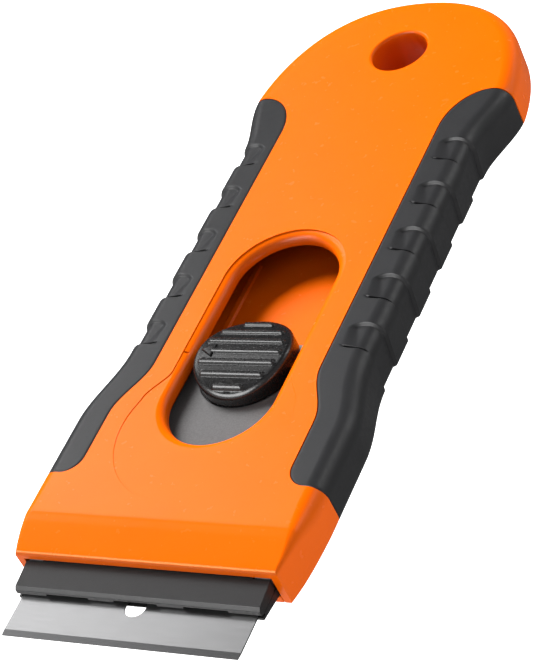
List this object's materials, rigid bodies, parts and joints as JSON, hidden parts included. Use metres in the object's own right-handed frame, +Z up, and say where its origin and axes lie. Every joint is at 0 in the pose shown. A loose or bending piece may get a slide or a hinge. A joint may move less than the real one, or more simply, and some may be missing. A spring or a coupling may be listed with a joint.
{
  "type": "razor blade scraper",
  "caption": "Flat retractable blade scraper with soft side grips, a ribbed slide button in a thumb slot, a hinged blade clamp and a hang hole in its round tail.",
  "frame": {"origin": "on the underside, below the middle of the whole length and on the middle plane", "axes": "+Y along the handle towards the tail, the cutting edge towards -Y; +Z up from the flat underside; +X to the right"},
  "size_m": [0.0486, 0.1364, 0.0087],
  "materials": {
    "orange_plastic": "satin moulded plastic",
    "soft_grip": "matte overmoulded elastomer",
    "holder_plastic": "fine grain",
    "slide_plastic": "fine grain",
    "button_plastic": "satin",
    "blade_steel": "fine brushed",
    "screw_steel": "zinc plated",
    "spring_steel": "rolled strip"
  },
  "bodies": {
    "handle": {"upper_shell": "orange_plastic", "bottom_cover": "orange_plastic", "grip_left": "soft_grip", "grip_right": "soft_grip", "cover_screws": "screw_steel"},
    "slide": {"slide_carriage": "slide_plastic", "blade_bed": "holder_plastic", "bed_screws": "screw_steel", "blade": "blade_steel", "jaw_pins": "screw_steel", "lock_spring": "spring_steel", "lock_rivets": "screw_steel"},
    "jaw": {"upper_jaw": "holder_plastic"},
    "button": {"slide_button": "button_plastic"}
  },
  "joints": [
    {"name": "blade_slide", "type": "slide", "parent": "handle", "child": "slide", "axis": [0, 1, 0], "range_m": [-0.009, 0.0165], "deforming": ["lock_spring"]},
    {"name": "button_press", "type": "slide", "parent": "slide", "child": "button", "axis": [0, 0, -1], "range_m": [0, 0.0006], "stiffness_N_per_m": 4000, "springref_m": -0.0004, "deforming": ["lock_spring"]},
    {"name": "jaw_hinge", "type": "hinge", "parent": "slide", "child": "jaw", "pos_m": [0, -0.0552, 0.00426], "axis": [-1, 0, 0], "range_deg": [0, 15]}
  ]
}
